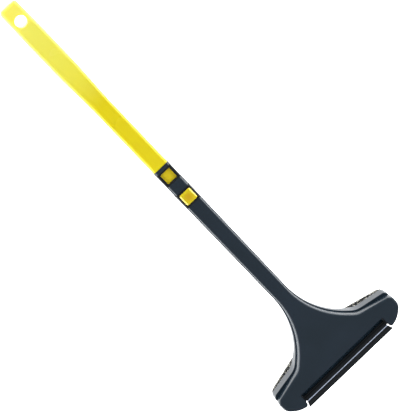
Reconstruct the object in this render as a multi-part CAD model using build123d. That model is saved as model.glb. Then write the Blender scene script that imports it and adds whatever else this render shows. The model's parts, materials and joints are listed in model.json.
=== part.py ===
from build123d import *
import math
import os

# Window scrubber: a T-shaped head with a net-covered sponge below and a rubber blade in front,
# a long neck, and a yellow handle that plugs into the neck and is held by a sprung catch.
# Millimetres. X across the head, Y from the blade to the handle's end, Z up from the floor.
# While it is built, y is 0 at the blade's edge. The last step moves the origin to the middle.

# Head, seen from above, as corners of the upper shell's outline
EAR_HALF = 94.4
EAR_BACK_Y = 32.6
EAR_FRONT_Y = 16.2
TAPER_INSET = 13.2
TAPER_Y = 3.6
TIP_SPREAD = 2.8
TIP_Y = 1.2
NOTCH_GAP = 0.8
FRONT_Y = 6.4
KINK_INSET = 44.0
KINK_Y = 44.5
FLARE_Y = 87.0
FLARE_CURVE_SHARE = 0.765
KINK_CURVE_SHARE = 0.12
EAR_BACK_RADIUS = 7.0
EAR_FRONT_RADIUS = 13.0
TAPER_RADIUS = 28.0
TIP_RADIUS = 3.2
NOTCH_RADIUS = 1.4

# Heights of the head
RIM_Z = 17.0
PARTING_Z = 31.0
HEAD_TOP_Z = 41.0
SHELF_Z = 35.6
BLADE_TOP_Z = 43.4

# Neck
NECK_HALF = 9.3
NECK_MOUTH_HALF = 9.75
NECK_UP = 8.8
NECK_DOWN = 8.5
BEND_Y = 126.0
NECK_LENGTH = 220.0
SHELL_WALL = 2.2
LEDGE = 1.3
REAR_EAR_INSET = 1.0
REAR_HEEL = 4.6
RAMP_TOP_Y = 64.0
RAMP_END_Y = 47.0
CREST_RADIUS = 300.0
RAMP_RADIUS = 30.0
TOP_ROUND = 2.2
BOTTOM_ROUND = 2.4
SHOULDER_ROUND = 0.8
FLANGE_DEPTH = 2.0
LIP_DEPTH = 1.8
LIP_WALL = 1.0

# Shelf in front of the upper shell, where the rail sits
SHELF_OVERLAP = 1.8
SHELF_BACK_Y = 20.0
SHELF_SLOPE = 5.0
SHELF_ROUND = 2.5

# Handle
GRIP_LENGTH = 249.0
GRIP_HALF = 12.6
GRIP_JOINT_HALF = 10.75
GRIP_END_HALF = 11.9
GRIP_DEPTH_HALF = 8.5
GRIP_WALL = 2.0
GRIP_ROUND = 4.0
GRIP_CORNER_RADIUS = 4.6
GRIP_BLEND_RADIUS = 60.0
GRIP_TAPER_LENGTH = 98.0
GRIP_SWELL_LENGTH = 152.0
HANG_HOLE_RADIUS = 7.0
HANG_HOLE_INSET = 22.0
HANG_HOLE_WALL = 2.4
SHOULDER_GAP = 0.25

# Stem of the handle
STEM_HALF = 7.2
STEM_DEPTH_HALF = 6.0
STEM_WALL = 2.0
STEM_ROOT = 60.0
STEM_INSERT = 85.0
STEM_STEP = 25.0
STEM_LOW_TOP = -1.6
CHANNEL_HALF = 3.9
CHANNEL_FLOOR = 1.4
SOCKET_CLEARANCE = 0.3
SOCKET_SPARE = 5.0
SEAT_CLEARANCE = 0.1

# Windows in the neck, measured from the sleeve's mouth to their middles
WINDOW_PLACE = 13.2
WINDOW_HALF_LENGTH = 7.15
WINDOW_HALF_WIDTH = 6.8
WINDOW_FRAME_HALF = 10.6
WINDOW_FRAME_HALF_LENGTH = 9.3
WINDOW_FRAME_RISE = 0.5
FRAME_RECESS = 0.6
FRAME_ROUND = 1.2
BUTTON_PLACE = 46.6
BUTTON_FRAME_HALF = 11.2
BUTTON_FRAME_HALF_LENGTH = 9.7
BUTTON_FRAME_RISE = 1.4
BUTTON_FRAME_ROUND = 2.4
FRAME_SEAT = 0.05

# Release button
BUTTON_HALF_WIDTH = 7.9
BUTTON_HALF_LENGTH = 7.6
BUTTON_RISE = 1.6
BUTTON_BEVEL = 1.5
BUTTON_CORNER = 2.0
BUTTON_WALL = 1.1
BUTTON_TOP_WALL = 1.6
BUTTON_TRAVEL = 2.4
BUTTON_STOP_GAP = 0.3
BUTTON_CLEARANCE = 0.2
TAB_REACH = 2.2
TAB_HALF_WIDTH = 5.0
TAB_THICKNESS = 1.5
PLUNGER_HALF = 3.2
PLUNGER_LIFT = 0.1

# Latch plate and catch
PLATE_THICKNESS = 1.2
PLATE_HALF_LENGTH = 16.0
PLATE_HALF_WIDTH = 8.8
PLATE_HOLE_HALF_LENGTH = 4.4
PLATE_HOLE_HALF_WIDTH = 3.55
CATCH_THICKNESS = 0.5
CATCH_HALF_WIDTH = 2.8
CATCH_GAP = 0.4
CATCH_TOP_GAP = 0.3
CATCH_NOSE = 1.8
CATCH_RAMP = 5.0
CATCH_DIP = 2.6
CATCH_ARM_END = 66.0
CATCH_ROOT_END = 80.0
RIVET_PLACES = (70.0, 76.0)
RIVET_RADIUS = 1.0
RIVET_HEAD_RADIUS = 1.8
RIVET_HEAD_HEIGHT = 0.7

# Springs under the button
SPRING_X = 5.1
SPRING_RADIUS = 1.3
SPRING_WIRE = 0.4
SPRING_TURNS = 6
SPRING_GAP = 0.1

# Blade and its rail
BLADE_ANGLE = 60.0
BLADE_THICKNESS = 1.6
BLADE_REACH = 6.6
BLADE_BEAD = 2.8
BLADE_BEAD_HEIGHT = 1.8
BLADE_END_SPREAD = 2.6
BLADE_END_Y = 1.0
RAIL_INSET = 27.7
RAIL_DEPTH = 4.2
RAIL_HEIGHT = 5.0
RAIL_LIP = 1.6
RAIL_FOOT = 2.2
RAIL_FOOT_END_Y = 13.6
RAIL_CLEARANCE = 0.05

# Sponge, net and the plate that carries them
NET_THICKNESS = 0.8
NET_CLEARANCE = 0.1
NET_STRAND = 1.1
NET_PITCH = 5.6
NET_ROUND = 3.0
NET_TOP_GAP = 1.4
HEM_RADIUS = 0.6
HEM_GAP = 0.1
PAD_INSET = 1.6
PAD_BACK_SLANT = 16.5
PAD_EAR_DROP = 1.9
PAD_BACK_HALF = 32.0
PAD_BACK_RADIUS = 20.0
PAD_CORNER_SHARE = 0.6
PAD_FRONT_Y = 9.5
PLATE_EDGE = 1.8
PAD_PLATE_THICKNESS = 2.4
PEG_RADIUS = 2.5
PEG_SLIT = 0.8
PEG_OVER = 1.2
PEG_CLEARANCE = 0.05
PEG_ACROSS_SHARES = (0.403, 0.828, 0.212)
PEG_Y_PLACES = (19.0, 21.0, 35.0)

# Screws
SCREW_RADIUS = 1.5
SCREW_HEAD_RADIUS = 2.7
SCREW_HEAD_HEIGHT = 1.8
SCREW_CLEARANCE = 0.1
SCREW_FIT = 0.05
SCREW_GRIP = 5.0
SCREW_SPARE = 0.6
SCREW_SLOT = 0.7
POST_WALL = 1.8
NECK_SCREW_SHARES = (0.154, 0.508, 0.862)
EAR_SCREW_SHARE = 0.658
EAR_SCREW_Y = 23.0
FLARE_SCREW_SHARE = 0.362
FLARE_SCREW_Y = 63.0
GRIP_SCREW_SHARES = (0.349, 0.595, 0.81)
RAIL_SCREW_SHARES = (-0.738, 0.0, 0.738)
RAIL_SCREW_RADIUS = 1.1
RAIL_SCREW_HEAD_RADIUS = 2.1
RAIL_SCREW_HEAD_HEIGHT = 1.2
RAIL_SCREW_BITE = 1.7
PIN_PLACES = (18.0, 44.0)
PIN_RADIUS = 1.5
PIN_REACH = 1.9

OVERRUN = 60.0


def tilt_for_tip():
    """Angle at which the straight handle drops until its end touches the floor."""
    reach = NECK_LENGTH + SHOULDER_GAP + GRIP_LENGTH - GRIP_ROUND
    depth = GRIP_DEPTH_HALF - GRIP_ROUND
    lean = math.atan2(depth, reach)
    return math.asin((PARTING_Z - GRIP_ROUND) / math.hypot(reach, depth)) - lean


DROP = tilt_for_tip()


def on_axis(along, up):
    """Side-view place (y, z) of a point given along the handle's axis and above it."""
    y = BEND_Y + along * math.cos(DROP) + up * math.sin(DROP)
    z = PARTING_Z - along * math.sin(DROP) + up * math.cos(DROP)
    return y, z


KINK_X = EAR_HALF - KINK_INSET
TAPER_X = EAR_HALF - TAPER_INSET
RAIL_HALF = EAR_HALF - RAIL_INSET
NOTCH_X = RAIL_HALF + NOTCH_GAP
TIP_X = NOTCH_X + TIP_SPREAD
SHELF_HALF = RAIL_HALF + SHELF_OVERLAP
BLADE_END_HALF = RAIL_HALF + BLADE_END_SPREAD
FLARE_LEAN = math.atan2(KINK_X - NECK_HALF, FLARE_Y - KINK_Y)
FLARE_RUN = math.hypot(KINK_X - NECK_HALF, FLARE_Y - KINK_Y)
EAR_LEAN = math.atan2(KINK_Y - EAR_BACK_Y, EAR_HALF - KINK_X)
KINK_TURN = math.pi / 2 - FLARE_LEAN - EAR_LEAN
FLARE_RADIUS = FLARE_CURVE_SHARE * FLARE_RUN / math.tan(FLARE_LEAN / 2)
KINK_RADIUS = KINK_CURVE_SHARE * FLARE_RUN / math.tan(KINK_TURN / 2)
PAD_EAR_Y = EAR_BACK_Y - PAD_EAR_DROP
PAD_BACK_Y = PAD_EAR_Y + PAD_BACK_SLANT
PAD_CORNER_RADIUS = PAD_CORNER_SHARE * (PAD_EAR_Y - EAR_FRONT_Y - PAD_INSET)
HANDLE_END = NECK_LENGTH + SHOULDER_GAP + GRIP_LENGTH
OVERALL_LENGTH = on_axis(HANDLE_END - GRIP_ROUND, GRIP_DEPTH_HALF - GRIP_ROUND)[0] + GRIP_ROUND
CREST_Y = BEND_Y - (HEAD_TOP_Z - PARTING_Z - NECK_UP) / math.tan(DROP)
NECK_CEILING = NECK_UP - SHELL_WALL
SOCKET_HALF = STEM_HALF + SOCKET_CLEARANCE
SOCKET_DEPTH_HALF = STEM_DEPTH_HALF + SOCKET_CLEARANCE
BUTTON_Y = NECK_LENGTH - BUTTON_PLACE
WINDOW_Y = NECK_LENGTH - WINDOW_PLACE
BUTTON_FRAME_TOP = NECK_UP - FRAME_RECESS + BUTTON_FRAME_RISE
BUTTON_TOP = BUTTON_FRAME_TOP + BUTTON_RISE
BUTTON_BOTTOM = BUTTON_TRAVEL + BUTTON_STOP_GAP
STEM_START = NECK_LENGTH + SHOULDER_GAP
NET_TOP = RIM_Z - NET_TOP_GAP
PAD_PLATE_BOTTOM = RIM_Z - PAD_PLATE_THICKNESS
NECK_FRAME = Location((0, BEND_Y, PARTING_Z), (-math.degrees(DROP), 0, 0))


# Helpers

def block(x_half, y_low, y_high, z_low, z_high):
    """Upright box, symmetric across X."""
    middle = ((y_low + y_high) / 2, (z_low + z_high) / 2)
    return Pos(0, middle[0], middle[1]) * Box(2 * x_half, y_high - y_low, z_high - z_low)


def post(x, y, z_low, z_high, radius):
    """Round post or bore that stands on Z."""
    return Pos(x, y, (z_low + z_high) / 2) * Cylinder(radius, z_high - z_low)


def mirrored_face(corners, radii):
    """Flat outline from the corners of its right half, listed from back to front."""
    left = [(-x, y) for x, y in reversed(corners)]
    outline = FilletPolyline(*corners, *left, radius=[*radii, *reversed(radii)], close=True)
    return make_face(outline)


def side_prism(corners, radii, x_half=OVERRUN * 2):
    """Prism across X with a side-view outline of (y, z) corners."""
    points = [(0, y, z) for y, z in corners]
    outline = FilletPolyline(*points, radius=radii, close=True)
    return extrude(make_face(outline), amount=x_half, dir=(1, 0, 0), both=True)


def upright(face, z_low, z_high):
    """Prism of a plan outline between two heights."""
    return extrude(Pos(0, 0, z_low) * face, amount=z_high - z_low, dir=(0, 0, 1))


def head_face(grow, inset, heel):
    """Outline of neck, flare and ears, grown along the neck and drawn in at the ears."""
    flare_shift = grow * math.tan(FLARE_LEAN / 2)
    mouth_y = BEND_Y + NECK_LENGTH
    widening = (NECK_MOUTH_HALF - NECK_HALF) / (mouth_y - FLARE_Y)
    corners = [
        (NECK_MOUTH_HALF + widening * OVERRUN + grow, mouth_y + OVERRUN),
        (NECK_HALF + grow, FLARE_Y + flare_shift),
        (KINK_X + grow, KINK_Y + grow),
        (EAR_HALF - inset, EAR_BACK_Y + heel),
        (EAR_HALF - inset, EAR_FRONT_Y + inset),
        (TAPER_X - inset, TAPER_Y + inset),
        (TIP_X - inset, TIP_Y + inset),
        (NOTCH_X - inset, FRONT_Y + inset),
    ]
    radii = [
        0,
        FLARE_RADIUS - grow,
        KINK_RADIUS - grow,
        EAR_BACK_RADIUS - inset,
        EAR_FRONT_RADIUS - inset,
        TAPER_RADIUS - inset,
        TIP_RADIUS - inset / 2,
        NOTCH_RADIUS + inset / 2,
    ]
    return mirrored_face(corners, radii)


def sponge_face(inset):
    """Outline of the sponge, drawn in by an inset all round."""
    corners = [
        (PAD_BACK_HALF - inset / 2, PAD_BACK_Y - inset),
        (EAR_HALF - REAR_EAR_INSET - PAD_INSET - inset, PAD_EAR_Y - inset),
        (EAR_HALF - REAR_EAR_INSET - PAD_INSET - inset, EAR_FRONT_Y + PAD_INSET + inset / 2),
        (TAPER_X - PAD_INSET - inset / 2, PAD_FRONT_Y + inset),
    ]
    radii = [PAD_BACK_RADIUS, PAD_CORNER_RADIUS - inset, PAD_CORNER_RADIUS - inset, PAD_BACK_RADIUS]
    return mirrored_face(corners, radii)


def top_height(y):
    """Height of the upper shell's top line over y."""
    return min(HEAD_TOP_Z, HEAD_TOP_Z - (y - CREST_Y) * math.tan(DROP))


def bent_line(up):
    """Side-view points of the parting line from the mouth to in front of the head."""
    return [on_axis(NECK_LENGTH, up), on_axis(0, up), (-OVERRUN, PARTING_Z + up)]


def top_line(drop, front_ceiling=None):
    """Side-view corners along the upper shell's top, from front to mouth."""
    if front_ceiling is None:
        front = [(-OVERRUN, HEAD_TOP_Z - drop)]
    else:
        step_y = SHELF_BACK_Y + drop
        front = [(-OVERRUN, front_ceiling), (step_y, front_ceiling), (step_y, HEAD_TOP_Z - drop)]
    return front + [(CREST_Y, HEAD_TOP_Z - drop), on_axis(NECK_LENGTH, NECK_UP - drop)]


def bottom_line(lift):
    """Side-view corners along the lower shell's underside, from front to mouth."""
    return [
        (-OVERRUN, RIM_Z + lift),
        (RAMP_END_Y, RIM_Z + lift),
        (RAMP_TOP_Y, PARTING_Z - NECK_DOWN + lift),
        on_axis(0, lift - NECK_DOWN),
        on_axis(NECK_LENGTH, lift - NECK_DOWN),
    ]


def in_neck(shape):
    """Moves a shape from the handle's own frame to its place."""
    return NECK_FRAME * shape


def screw(x, y, z_head, z_tip, radius, head_radius, head_height):
    """Screw with its head down and a straight slot in the head."""
    head = post(x, y, z_head, z_head + head_height, head_radius)
    shank = post(x, y, z_head + head_height, z_tip, radius)
    slot_depth = head_height / 2
    slot = Pos(x, y, z_head + slot_depth / 2) * Box(2 * head_radius, SCREW_SLOT, slot_depth)
    return head + shank - slot


# Shells of the neck and head

def neck_screw_spots():
    """Screw places along the neck, in the handle's frame."""
    free = NECK_LENGTH - STEM_INSERT - SOCKET_SPARE
    return [(0, share * free) for share in NECK_SCREW_SHARES]


def head_screw_spots():
    ear = (EAR_SCREW_SHARE * EAR_HALF, EAR_SCREW_Y)
    flare = (FLARE_SCREW_SHARE * KINK_X, FLARE_SCREW_Y)
    return [(side * x, y) for x, y in (ear, flare) for side in (-1, 1)]


def rail_screw_spots():
    y = (FRONT_Y + SHELL_WALL + RAIL_FOOT_END_Y) / 2
    return [(share * RAIL_HALF, y) for share in RAIL_SCREW_SHARES]


def ramp_height(y):
    """Height of the lower shell's underside over y in the head."""
    share = min(max((y - RAMP_END_Y) / (RAMP_TOP_Y - RAMP_END_Y), 0), 1)
    return RIM_Z + share * (PARTING_Z - NECK_DOWN - RIM_Z)


def front_outer():
    """Upper shell as a solid, before it is hollowed."""
    side = side_prism(
        [*bent_line(0), *top_line(0)],
        [0, 0, 0, 0, CREST_RADIUS, 0],
    )
    top = HEAD_TOP_Z + OVERRUN
    body = upright(head_face(0, 0, 0), 0, top) & side
    edges = [e for e in body.edges() if is_top_edge(e)]
    return fillet(edges, TOP_ROUND)


def is_top_edge(edge):
    """True for the edges between the top and the side walls."""
    spot = edge @ 0.5
    level = abs(spot.Z - top_height(spot.Y)) < TOP_ROUND / 8
    crosses = abs(spot.X) < NECK_HALF / 2 and spot.Y > SHELF_BACK_Y
    return level and not crosses


def shelf_cut():
    """Space above the shelf in front of the upper shell."""
    top = HEAD_TOP_Z + OVERRUN
    lean = SHELF_SLOPE / (HEAD_TOP_Z - SHELF_Z)
    corners = [
        (-OVERRUN, top),
        (-OVERRUN, SHELF_Z),
        (SHELF_BACK_Y - SHELF_SLOPE, SHELF_Z),
        (SHELF_BACK_Y - SHELF_SLOPE + lean * (top - SHELF_Z), top),
    ]
    return side_prism(corners, [0, 0, SHELF_ROUND, 0], SHELF_HALF)


def front_core():
    """Upper shell's outside with the shelf and the seats of the two frames."""
    recess_top = NECK_UP + OVERRUN
    seat = NECK_UP - FRAME_RECESS
    window_seat = block(
        OVERRUN, WINDOW_Y - WINDOW_FRAME_HALF_LENGTH, WINDOW_Y + WINDOW_FRAME_HALF_LENGTH,
        seat, recess_top,
    )
    button_seat = block(
        OVERRUN, BUTTON_Y - BUTTON_FRAME_HALF_LENGTH, BUTTON_Y + BUTTON_FRAME_HALF_LENGTH,
        seat, recess_top,
    )
    return front_outer() - shelf_cut() - in_neck(window_seat) - in_neck(button_seat)


def socket_space():
    """Sleeve that takes the stem, open at the neck's mouth."""
    end = NECK_LENGTH - STEM_INSERT - SOCKET_SPARE
    return block(SOCKET_HALF, end, NECK_LENGTH + OVERRUN, -SOCKET_DEPTH_HALF, SOCKET_DEPTH_HALF)


def button_space():
    """Room for the button, its tabs and its opening through the top."""
    tab_half = BUTTON_HALF_LENGTH + TAB_REACH + BUTTON_CLEARANCE
    cap_half = BUTTON_HALF_WIDTH + BUTTON_CLEARANCE
    opening = BUTTON_HALF_LENGTH + BUTTON_CLEARANCE
    room = block(cap_half, BUTTON_Y - tab_half, BUTTON_Y + tab_half, 0, NECK_CEILING)
    hole = block(cap_half, BUTTON_Y - opening, BUTTON_Y + opening, 0, BUTTON_TOP)
    return room + hole


def front_shell():
    """Upper shell of neck and head, with its lip, screw posts and openings."""
    lip_low = PARTING_Z - LIP_DEPTH
    inner_side = side_prism(
        [*bent_line(-OVERRUN), *top_line(SHELL_WALL, SHELF_Z - SHELL_WALL)],
        [0, 0, 0, 0, 0, 0, CREST_RADIUS, 0],
    )
    hollow = upright(head_face(-SHELL_WALL, SHELL_WALL, -SHELL_WALL), 0, HEAD_TOP_Z) & inner_side
    lip_side = side_prism(
        [*bent_line(-LIP_DEPTH), (-OVERRUN, PARTING_Z), on_axis(0, 0), on_axis(NECK_LENGTH, 0)],
        [0, 0, 0, 0, 0, 0],
    )
    outer_gap = SHELL_WALL + SEAT_CLEARANCE
    inner_gap = outer_gap + LIP_WALL
    lip = upright(head_face(-outer_gap, outer_gap, -outer_gap), 0, HEAD_TOP_Z) & lip_side
    plate_gap = block(
        OVERRUN, BUTTON_Y - PLATE_HALF_LENGTH, BUTTON_Y + PLATE_HALF_LENGTH, -2 * LIP_DEPTH, 0
    )
    lip -= in_neck(plate_gap)
    bore = upright(head_face(-inner_gap, inner_gap, -inner_gap), 0, HEAD_TOP_Z)
    shell = front_core() - hollow
    bridge = upright(head_face(0, 0, 0), 0, HEAD_TOP_Z) - bore
    bridge_side = side_prism(
        [*bent_line(0), (-OVERRUN, PARTING_Z + LIP_WALL), on_axis(0, LIP_WALL),
         on_axis(NECK_LENGTH, LIP_WALL)],
        [0, 0, 0, 0, 0, 0],
    )
    shell = shell + (lip - bore) + (bridge & bridge_side)
    shell = shell - in_neck(socket_space()) - in_neck(button_space())
    window = block(
        WINDOW_HALF_WIDTH, WINDOW_Y - WINDOW_HALF_LENGTH, WINDOW_Y + WINDOW_HALF_LENGTH,
        0, BUTTON_TOP,
    )
    shell = shell - in_neck(window)
    radius = SCREW_RADIUS + POST_WALL
    for x, y in head_screw_spots():
        shell += post(x, y, PARTING_Z, HEAD_TOP_Z - SHELL_WALL, radius)
        shell -= post(x, y, lip_low, PARTING_Z + SCREW_GRIP, SCREW_RADIUS + SCREW_FIT)
    for x, y in neck_screw_spots():
        shell += in_neck(post(x, y, 0, NECK_CEILING, radius))
        shell -= in_neck(post(x, y, -LIP_DEPTH, SCREW_GRIP, SCREW_RADIUS + SCREW_FIT))
    for x, y in rail_screw_spots():
        shell -= post(x, y, PARTING_Z, SHELF_Z + OVERRUN, RAIL_SCREW_RADIUS + SCREW_FIT)
    return shell


def rear_shell():
    """Lower shell of neck and head, with its flange, screw posts and peg holes."""
    side = side_prism(
        [*bent_line(0), *bottom_line(0)],
        [0, 0, 0, 0, RAMP_RADIUS, RAMP_RADIUS, 0, 0],
    )
    body = upright(head_face(LEDGE, REAR_EAR_INSET, REAR_HEEL), 0, HEAD_TOP_Z) & side
    shoulder = [e for e in body.edges() if is_shoulder_edge(e)]
    body = fillet(shoulder, SHOULDER_ROUND)
    bottom = [e for e in body.edges() if is_bottom_edge(e)]
    body = fillet(bottom, BOTTOM_ROUND)
    inner_side = side_prism(
        [*bent_line(-FLANGE_DEPTH), *bottom_line(SHELL_WALL)],
        [0, 0, 0, 0, RAMP_RADIUS, RAMP_RADIUS, 0, 0],
    )
    grow = LEDGE - SHELL_WALL
    hollow_face = head_face(grow, REAR_EAR_INSET + SHELL_WALL, REAR_HEEL - SHELL_WALL)
    hollow = upright(hollow_face, 0, HEAD_TOP_Z) & inner_side
    mouth_face = head_face(-SHELL_WALL, SHELL_WALL, -SHELL_WALL)
    mouth_side = side_prism(
        [*bent_line(OVERRUN), (-OVERRUN, PARTING_Z - FLANGE_DEPTH * 2),
         on_axis(0, -FLANGE_DEPTH * 2), on_axis(NECK_LENGTH, -FLANGE_DEPTH * 2)],
        [0, 0, 0, 0, 0, 0],
    )
    mouth = upright(mouth_face, 0, HEAD_TOP_Z) & mouth_side
    shell = body - hollow - mouth - in_neck(socket_space())
    shell -= in_neck(plate_block(0, 0))
    radius = SCREW_RADIUS + POST_WALL
    through = SCREW_RADIUS + SCREW_CLEARANCE
    head_bore = SCREW_HEAD_RADIUS + SCREW_CLEARANCE
    for x, y in head_screw_spots():
        low = ramp_height(y)
        wide = head_bore + POST_WALL
        shell += post(x, y, low + SHELL_WALL / 2, PARTING_Z, radius)
        shell += post(x, y, low + SHELL_WALL / 2, low + screw_seat() + SHELL_WALL, wide)
        shell -= post(x, y, 0, PARTING_Z + SCREW_GRIP, through)
        shell -= post(x, y, 0, low + screw_seat(), head_bore)
    for x, y in neck_screw_spots():
        wide = head_bore + SHELL_WALL / 2
        low = -NECK_DOWN
        shell += in_neck(post(x, y, low + SHELL_WALL / 2, 0, radius))
        shell += in_neck(post(x, y, low + SHELL_WALL / 2, low + screw_seat() + SHELL_WALL, wide))
        shell -= in_neck(post(x, y, low - SHELL_WALL, SCREW_GRIP, through))
        shell -= in_neck(post(x, y, low - SHELL_WALL, low + screw_seat(), head_bore))
    for x, y in peg_spots():
        shell -= post(x, y, 0, RIM_Z + SHELL_WALL * 2, PEG_RADIUS + PEG_CLEARANCE)
    return shell


def screw_seat():
    """Depth of the bore that takes a screw's head."""
    return SCREW_HEAD_HEIGHT + SCREW_SPARE


def is_shoulder_edge(edge):
    """True for the outer edges of the lower shell at the parting line."""
    spot = edge @ 0.5
    along = max(spot.Y - BEND_Y, 0)
    level = abs(spot.Z - (PARTING_Z - along * math.tan(DROP))) < SHOULDER_ROUND / 4
    crosses = abs(spot.X) < NECK_HALF / 2 and spot.Y > SHELF_BACK_Y
    return level and not crosses


def is_bottom_edge(edge):
    """True for the outer edges of the lower shell's underside."""
    spot = edge @ 0.5
    if spot.Y < BEND_Y:
        height = ramp_height(spot.Y)
    else:
        height = PARTING_Z - (spot.Y - BEND_Y) * math.tan(DROP) - NECK_DOWN / math.cos(DROP)
    level = abs(spot.Z - height) < BOTTOM_ROUND / 4
    crosses = abs(spot.X) < NECK_HALF / 2 and spot.Y > SHELF_BACK_Y
    return level and not crosses


def screws_up(spots, low, place):
    """Screws that hold the two shells together, heads down in their bores."""
    solids = []
    for x, y in spots:
        head = low(y) + SCREW_SPARE
        tip = place + SCREW_GRIP - SCREW_SPARE
        solids.append(
            screw(x, y, head, tip, SCREW_RADIUS, SCREW_HEAD_RADIUS, SCREW_HEAD_HEIGHT)
        )
    return solids


def neck_screws():
    group = screws_up(neck_screw_spots(), lambda y: -NECK_DOWN, 0)
    return Compound(children=[in_neck(solid) for solid in group])


def head_screws():
    return Compound(children=screws_up(head_screw_spots(), ramp_height, PARTING_Z))


# Frames, button and catch in the neck

def saddle(place, frame_half, half_length, top, hole_half_width, hole_half_length, rounding):
    """Frame that straps over the upper shell and stands on the lower shell's edge."""
    body = block(frame_half, place - half_length, place + half_length, FRAME_SEAT, top)
    body = fillet(body.edges().filter_by(Axis.Y).group_by(Axis.Z)[-1], rounding)
    hole = block(
        hole_half_width, place - hole_half_length, place + hole_half_length, 0, top + OVERRUN
    )
    return in_neck(body - hole) - front_core()


def window_frame():
    top = NECK_UP - FRAME_RECESS + WINDOW_FRAME_RISE
    return saddle(
        WINDOW_Y, WINDOW_FRAME_HALF, WINDOW_FRAME_HALF_LENGTH, top,
        WINDOW_HALF_WIDTH, WINDOW_HALF_LENGTH, FRAME_ROUND,
    )


def button_frame():
    return saddle(
        BUTTON_Y, BUTTON_FRAME_HALF, BUTTON_FRAME_HALF_LENGTH, BUTTON_FRAME_TOP,
        BUTTON_HALF_WIDTH + BUTTON_CLEARANCE, BUTTON_HALF_LENGTH + BUTTON_CLEARANCE,
        BUTTON_FRAME_ROUND,
    )


def release_button():
    """Hollow cap with a plunger in its middle and a tab at each end."""
    front = BUTTON_Y - BUTTON_HALF_LENGTH
    back = BUTTON_Y + BUTTON_HALF_LENGTH
    cap = block(BUTTON_HALF_WIDTH, front, back, BUTTON_BOTTOM, BUTTON_TOP)
    cap = fillet(cap.edges().filter_by(Axis.Z), BUTTON_CORNER)
    cap = chamfer(cap.faces().sort_by(Axis.Z)[-1].edges(), BUTTON_BEVEL)
    inside = block(
        BUTTON_HALF_WIDTH - BUTTON_WALL, front + BUTTON_WALL, back - BUTTON_WALL,
        BUTTON_BOTTOM, BUTTON_TOP - BUTTON_TOP_WALL,
    )
    plunger = block(
        PLUNGER_HALF, BUTTON_Y - PLUNGER_HALF, BUTTON_Y + PLUNGER_HALF,
        PLUNGER_LIFT, BUTTON_TOP - BUTTON_TOP_WALL,
    )
    tab_top = NECK_CEILING - BUTTON_CLEARANCE
    tabs = block(
        TAB_HALF_WIDTH, front - TAB_REACH, back + TAB_REACH, tab_top - TAB_THICKNESS, tab_top
    )
    return in_neck(cap + tabs - inside + plunger)


def button_springs():
    """Two coil springs between the latch plate and the button's ceiling."""
    wire = SPRING_WIRE / 2
    low = SPRING_GAP + wire
    high = BUTTON_TOP - BUTTON_TOP_WALL - SPRING_GAP - wire
    solids = []
    for side in (-1, 1):
        path = Helix((high - low) / SPRING_TURNS, high - low, SPRING_RADIUS)
        section = Plane(origin=path @ 0, z_dir=path % 0) * Circle(wire)
        coil = sweep(section, path=path)
        solids.append(in_neck(Pos(side * SPRING_X, BUTTON_Y, low) * coil))
    return Compound(children=solids)


def plate_block(side_gap, end_gap):
    """Outer size of the latch plate, less a gap at its sides and ends."""
    return block(
        PLATE_HALF_WIDTH - side_gap, BUTTON_Y - PLATE_HALF_LENGTH + end_gap,
        BUTTON_Y + PLATE_HALF_LENGTH - end_gap, -PLATE_THICKNESS, 0,
    )


def latch_plate():
    """Plate clamped between the shells, with the hole that the catch hooks into."""
    hole = block(
        PLATE_HOLE_HALF_WIDTH, BUTTON_Y - PLATE_HOLE_HALF_LENGTH,
        BUTTON_Y + PLATE_HOLE_HALF_LENGTH, -PLATE_THICKNESS, 0,
    )
    return in_neck(plate_block(SEAT_CLEARANCE, SEAT_CLEARANCE) - hole)


def strip(points, thickness):
    """Outline of a bent sheet that lies on the given side-view points."""
    normals = []
    for (y0, z0), (y1, z1) in zip(points, points[1:]):
        size = math.hypot(y1 - y0, z1 - z0)
        normals.append(((z0 - z1) / size, (y1 - y0) / size))
    joints = [normals[0]]
    for (ay, az), (by, bz) in zip(normals, normals[1:]):
        scale = 1 + ay * by + az * bz
        joints.append(((ay + by) / scale, (az + bz) / scale))
    joints.append(normals[-1])
    moved = [(y + thickness * ny, z + thickness * nz) for (y, z), (ny, nz) in zip(points, joints)]
    return points + moved[::-1]


def catch_spring():
    """Steel strip, riveted in the stem's channel, with a nose that stands in the plate's hole."""
    floor = CHANNEL_FLOOR - STEM_DEPTH_HALF
    hook = BUTTON_Y + PLATE_HOLE_HALF_LENGTH - CATCH_GAP
    top = PLUNGER_LIFT - CATCH_TOP_GAP
    dip = top - CATCH_DIP
    points = [
        (NECK_LENGTH - CATCH_ROOT_END, floor + CATCH_THICKNESS),
        (NECK_LENGTH - CATCH_ARM_END, floor + CATCH_THICKNESS),
        (hook - CATCH_NOSE - CATCH_RAMP, dip),
        (hook - CATCH_NOSE, top),
        (hook, top),
        (hook, dip - CATCH_THICKNESS),
    ]
    outline = strip(points, -CATCH_THICKNESS)
    arm = side_prism(outline, [0] * len(outline), CATCH_HALF_WIDTH)
    for place in RIVET_PLACES:
        spot = NECK_LENGTH - place
        arm -= post(0, spot, -STEM_DEPTH_HALF, 0, RIVET_RADIUS + SEAT_CLEARANCE / 2)
    return in_neck(arm)


def catch_rivets():
    floor = CHANNEL_FLOOR - STEM_DEPTH_HALF + CATCH_THICKNESS
    solids = []
    for place in RIVET_PLACES:
        spot = NECK_LENGTH - place
        shank = post(0, spot, -STEM_DEPTH_HALF, floor, RIVET_RADIUS)
        head = post(0, spot, floor, floor + RIVET_HEAD_HEIGHT, RIVET_HEAD_RADIUS)
        head = fillet(head.faces().sort_by(Axis.Z)[-1].edges(), RIVET_HEAD_HEIGHT / 2)
        solids.append(in_neck(shank + head))
    return Compound(children=solids)


# Blade and rail

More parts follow.
